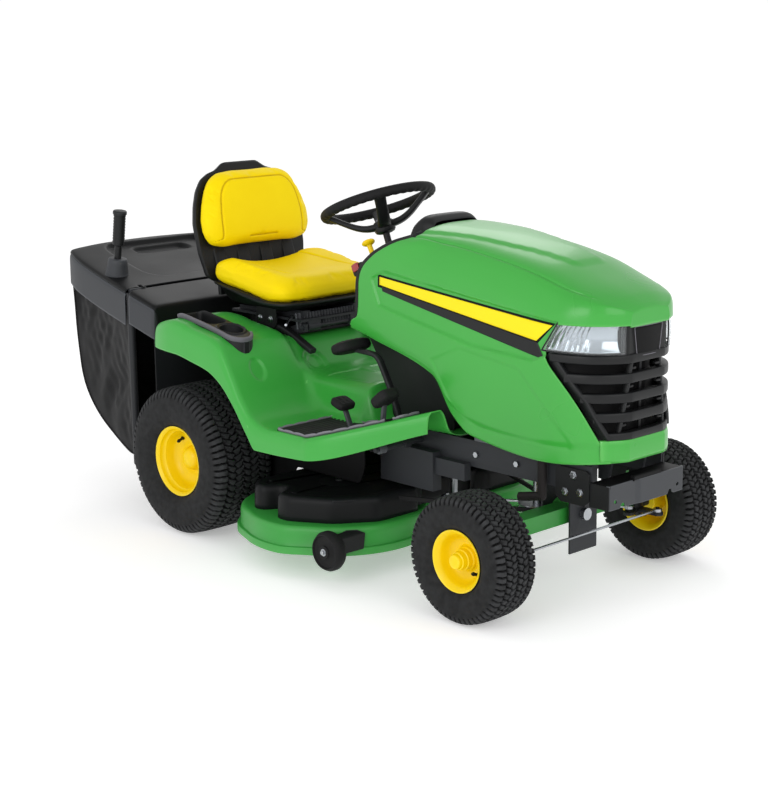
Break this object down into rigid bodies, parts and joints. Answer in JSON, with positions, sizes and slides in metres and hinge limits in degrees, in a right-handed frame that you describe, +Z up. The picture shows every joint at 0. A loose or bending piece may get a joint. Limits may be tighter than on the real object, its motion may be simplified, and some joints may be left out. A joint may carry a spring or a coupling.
{
  "type": "riding lawn mower",
  "caption": "Riding lawn mower with a steering wheel, seat, belly deck with overlapping blades, and a tilting rear grass collector.",
  "frame": {"origin": "on the ground, midway along the length and the width", "axes": "+X forward, +Y to the driver's left, +Z up"},
  "size_m": [2.384, 1.094, 1.1725],
  "materials": {
    "green_plastic": "gloss",
    "green_paint": "gloss",
    "yellow_paint": "gloss",
    "yellow_vinyl": "satin",
    "yellow_plastic": "gloss",
    "black_plastic": "satin",
    "white_plastic": "satin",
    "black_steel": "satin",
    "bare_steel": "satin",
    "cast_alloy": "matte",
    "rubber": "matte",
    "tyre": "matte",
    "bag_cloth": "matte",
    "lamp": "gloss"
  },
  "bodies": {
    "chassis": {"frame_rails": "black_steel", "front_bumper": "black_steel", "fasteners": "bare_steel", "engine_block": "cast_alloy", "muffler": "black_steel", "battery": "black_plastic", "fuel_tank": "white_plastic", "dash_console": "black_plastic", "fender_deck": "green_plastic", "foot_mats": "rubber", "fender_trays": "black_plastic", "transaxle": "cast_alloy", "hopper_support": "black_steel", "discharge_chute": "black_plastic", "seat_bracket": "black_steel"},
    "crankshaft": {"engine_pulley": "bare_steel"},
    "steering": {"steering_wheel": "black_plastic"},
    "pinion": {"steering_shaft": "bare_steel"},
    "sector": {"steering_sector": "bare_steel"},
    "axle": {"front_axle_beam": "green_paint"},
    "drag": {"drag_link": "bare_steel"},
    "tie": {"tie_rod": "bare_steel"},
    "deck": {"deck_shell": "green_paint", "deck_cover": "black_plastic", "deck_belt": "rubber", "spindle_housings": "cast_alloy"},
    "lift": {"lift_shaft": "black_steel"},
    "lift_foot": {"lift_pedal": "black_steel"},
    "seat_base": {"seat_slide": "black_steel"},
    "seat": {"seat_shell": "black_plastic", "seat_cushion": "yellow_vinyl", "seat_backrest": "yellow_vinyl"},
    "hood": {"hood_shell": "green_plastic", "grille": "black_plastic", "headlights": "lamp"},
    "hopper": {"hopper_cover": "black_plastic", "hopper_bag": "bag_cloth", "hopper_frame": "black_steel"},
    "handle": {"hopper_handle": "black_steel"},
    "forward_foot": {"forward_pedal": "black_steel"},
    "reverse_foot": {"reverse_pedal": "black_steel"},
    "brake_foot": {"brake_pedal": "black_steel"},
    "pto": {"pto_knob": "yellow_plastic"},
    "throttle": {"throttle_lever": "black_plastic"},
    "key": {"ignition_key": "bare_steel"},
    "cap": {"fuel_cap": "black_plastic"},
    "knuckle_right": {"knuckle_right": "black_steel"},
    "front_wheel_right": {"front_tyre_right": "tyre", "front_rim_right": "yellow_paint"},
    "rear_wheel_right": {"rear_tyre_right": "tyre", "rear_rim_right": "yellow_paint"},
    "blade_right": {"blade_right": "bare_steel"},
    "gauge_right": {"gauge_wheel_right": "black_plastic"},
    "knuckle_left": {"knuckle_left": "black_steel"},
    "front_wheel_left": {"front_tyre_left": "tyre", "front_rim_left": "yellow_paint"},
    "rear_wheel_left": {"rear_tyre_left": "tyre", "rear_rim_left": "yellow_paint"},
    "blade_left": {"blade_left": "bare_steel"},
    "gauge_left": {"gauge_wheel_left": "black_plastic"}
  },
  "joints": [
    {"name": "steering", "type": "hinge", "parent": "chassis", "child": "steering", "pos_m": [0.104, 0, 1.078], "axis": [-0.3584, 0, 0.9336], "range_deg": [-175, 175]},
    {"name": "pinion_turn", "type": "hinge", "parent": "chassis", "child": "pinion", "pos_m": [0.33739, 0, 0.4], "axis": [0, 0, 1], "range_deg": [-175, 175]},
    {"name": "sector_turn", "type": "hinge", "parent": "chassis", "child": "sector", "pos_m": [0.43339, 0, 0.36], "axis": [0, 0, 1], "range_deg": [-35, 35]},
    {"name": "axle_rock", "type": "hinge", "parent": "chassis", "child": "axle", "pos_m": [0.908, 0, 0.232], "axis": [1, 0, 0], "range_deg": [-4, 4]},
    {"name": "steer_right", "type": "hinge", "parent": "axle", "child": "knuckle_right", "pos_m": [0.908, -0.3, 0.24], "axis": [0, 0, 1], "range_deg": [-35, 35]},
    {"name": "front_roll_right", "type": "hinge", "parent": "knuckle_right", "child": "front_wheel_right", "pos_m": [0.908, -0.416, 0.184], "axis": [0, 1, 0], "continuous": true},
    {"name": "rear_roll_right", "type": "hinge", "parent": "chassis", "child": "rear_wheel_right", "pos_m": [-0.356, -0.386, 0.245], "axis": [0, 1, 0], "continuous": true},
    {"name": "steer_left", "type": "hinge", "parent": "axle", "child": "knuckle_left", "pos_m": [0.908, 0.3, 0.24], "axis": [0, 0, 1], "range_deg": [-35, 35]},
    {"name": "front_roll_left", "type": "hinge", "parent": "knuckle_left", "child": "front_wheel_left", "pos_m": [0.908, 0.416, 0.184], "axis": [0, 1, 0], "continuous": true},
    {"name": "rear_roll_left", "type": "hinge", "parent": "chassis", "child": "rear_wheel_left", "pos_m": [-0.356, 0.386, 0.245], "axis": [0, 1, 0], "continuous": true},
    {"name": "drag_swing", "type": "hinge", "parent": "knuckle_left", "child": "drag", "pos_m": [0.93547, 0.24109, 0.1962], "axis": [0, 0, 1], "range_deg": [-35, 35]},
    {"name": "tie_swing", "type": "hinge", "parent": "knuckle_left", "child": "tie", "pos_m": [0.998, 0.3, 0.1866], "axis": [0, 0, 1], "range_deg": [-35, 35]},
    {"name": "deck_lift", "type": "slide", "parent": "chassis", "child": "deck", "axis": [0, 0, 1], "range_m": [-0.05, 0], "deforming": ["deck_belt"]},
    {"name": "lift_turn", "type": "hinge", "parent": "chassis", "child": "lift", "pos_m": [0.219, 0, 0.395], "axis": [0, 1, 0], "range_deg": [-24.25, 0]},
    {"name": "lift_pedal", "type": "hinge", "parent": "chassis", "child": "lift_foot", "pos_m": [0.454, -0.228, 0.398], "axis": [0, 1, 0], "range_deg": [-18, 0]},
    {"name": "engine", "type": "hinge", "parent": "chassis", "child": "crankshaft", "pos_m": [0.784, 0, 0.3], "axis": [0, 0, 1], "continuous": true},
    {"name": "blade_spin_right", "type": "hinge", "parent": "deck", "child": "blade_right", "pos_m": [0.189, -0.262, 0.19], "axis": [0, 0, 1], "continuous": true},
    {"name": "gauge_roll_right", "type": "hinge", "parent": "deck", "child": "gauge_right", "pos_m": [0.421, -0.516, 0.116], "axis": [0, 1, 0], "continuous": true},
    {"name": "blade_spin_left", "type": "hinge", "parent": "deck", "child": "blade_left", "pos_m": [0.189, 0.262, 0.19], "axis": [0, 0, 1], "continuous": true},
    {"name": "gauge_roll_left", "type": "hinge", "parent": "deck", "child": "gauge_left", "pos_m": [0.421, 0.516, 0.116], "axis": [0, 1, 0], "continuous": true},
    {"name": "seat_tilt", "type": "hinge", "parent": "chassis", "child": "seat_base", "pos_m": [-0.118, 0, 0.67], "axis": [0, 1, 0], "range_deg": [0, 38]},
    {"name": "seat_slide", "type": "slide", "parent": "seat_base", "child": "seat", "axis": [1, 0, 0], "range_m": [0, 0.06]},
    {"name": "hood_open", "type": "hinge", "parent": "chassis", "child": "hood", "pos_m": [1.12, 0, 0.462], "axis": [0, 1, 0], "range_deg": [0, 60]},
    {"name": "hopper_tilt", "type": "hinge", "parent": "chassis", "child": "hopper", "pos_m": [-0.682, 0, 0.764], "axis": [0, 1, 0], "range_deg": [0, 75]},
    {"name": "handle_pull", "type": "slide", "parent": "hopper", "child": "handle", "axis": [0.1564, 0, 0.9877], "range_m": [0, 0.24]},
    {"name": "forward_press", "type": "hinge", "parent": "chassis", "child": "forward_foot", "pos_m": [0.454, -0.33, 0.398], "axis": [0, 1, 0], "range_deg": [0, 14], "stiffness_Nm_per_rad": 20, "springref_deg": -6.88},
    {"name": "reverse_press", "type": "hinge", "parent": "chassis", "child": "reverse_foot", "pos_m": [0.334, -0.33, 0.398], "axis": [0, 1, 0], "range_deg": [-12, 0], "stiffness_Nm_per_rad": 20, "springref_deg": 6.88},
    {"name": "brake_press", "type": "hinge", "parent": "chassis", "child": "brake_foot", "pos_m": [0.454, 0.3, 0.398], "axis": [0, 1, 0], "range_deg": [0, 14], "stiffness_Nm_per_rad": 30, "springref_deg": -6.88},
    {"name": "pto_pull", "type": "slide", "parent": "chassis", "child": "pto", "axis": [-0.4769, 0, 0.8789], "range_m": [0, 0.016]},
    {"name": "throttle_move", "type": "hinge", "parent": "chassis", "child": "throttle", "pos_m": [0.3491, 0.14, 0.93617], "axis": [0, 1, 0], "range_deg": [-18, 18]},
    {"name": "key_turn", "type": "hinge", "parent": "chassis", "child": "key", "pos_m": [0.31034, -0.14, 0.94471], "axis": [-0.4769, 0, 0.8789], "range_deg": [-90, 0]},
    {"name": "cap_turn", "type": "hinge", "parent": "chassis", "child": "cap", "pos_m": [-0.32, 0.268, 0.72], "axis": [0, 0, 1], "range_deg": [0, 170]}
  ],
  "couplings": [
    {"joint": "pinion_turn", "follows": "steering", "ratio": 1},
    {"joint": "sector_turn", "follows": "steering", "ratio": 0.2},
    {"joint": "steer_right", "follows": "steering", "ratio": 0.2},
    {"joint": "steer_left", "follows": "steering", "ratio": 0.2},
    {"joint": "drag_swing", "follows": "steering", "ratio": -0.2},
    {"joint": "tie_swing", "follows": "steering", "ratio": -0.2},
    {"joint": "lift_turn", "follows": "deck_lift", "rad_per_m": 8.4639},
    {"joint": "lift_pedal", "follows": "deck_lift", "rad_per_m": 6.2826},
    {"joint": "blade_spin_right", "follows": "engine", "ratio": 0.83333},
    {"joint": "blade_spin_left", "follows": "engine", "ratio": 0.83333}
  ]
}
